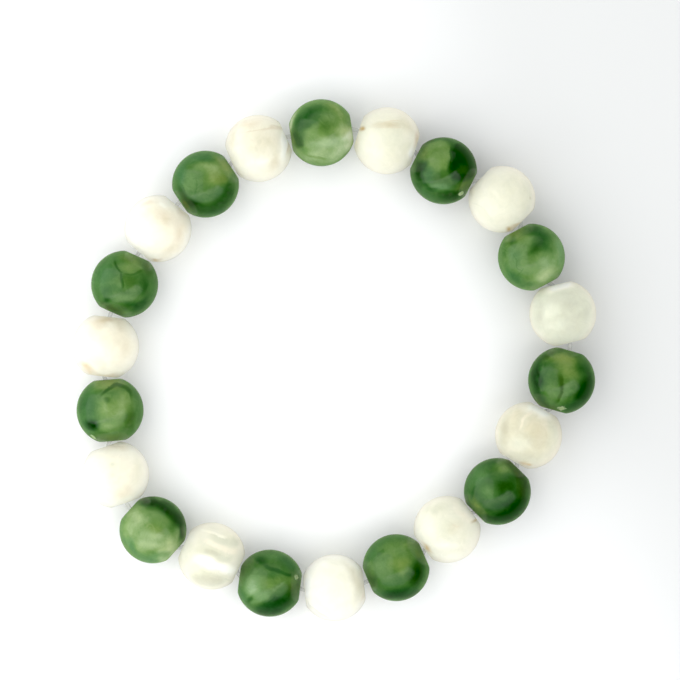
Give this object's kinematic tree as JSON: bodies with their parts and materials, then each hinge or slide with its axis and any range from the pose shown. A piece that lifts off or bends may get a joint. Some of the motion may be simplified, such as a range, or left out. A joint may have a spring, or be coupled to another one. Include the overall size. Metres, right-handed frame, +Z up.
{
  "type": "beaded bracelet",
  "caption": "Stretch bracelet of round drilled stone beads, swirled green and milky white in turn, on a closed loop of elastic cord, lying flat.",
  "frame": {"origin": "on the surface that the bracelet lies on, under the middle of the loop's bounding box", "axes": "+Z up, square to the plane of the loop; +X to the right and +Y to the top of the picture, which looks straight down"},
  "size_m": [0.0626, 0.0624, 0.008],
  "materials": {
    "green_stone": "polished translucent green stone with pale and dark clouds",
    "white_stone": "polished milky white stone with faint tan veils",
    "clear_elastic": "clear elastic cord, slightly cloudy"
  },
  "bodies": {
    "root": {"green_bead_01": "green_stone", "green_bead_02": "green_stone", "green_bead_03": "green_stone", "green_bead_04": "green_stone", "green_bead_05": "green_stone", "green_bead_06": "green_stone", "green_bead_07": "green_stone", "green_bead_08": "green_stone", "green_bead_09": "green_stone", "green_bead_10": "green_stone", "green_bead_11": "green_stone", "white_bead_01": "white_stone", "white_bead_02": "white_stone", "white_bead_03": "white_stone", "white_bead_04": "white_stone", "white_bead_05": "white_stone", "white_bead_06": "white_stone", "white_bead_07": "white_stone", "white_bead_08": "white_stone", "white_bead_09": "white_stone", "white_bead_10": "white_stone", "white_bead_11": "white_stone", "elastic_cord": "clear_elastic"}
  },
  "joints": []
}
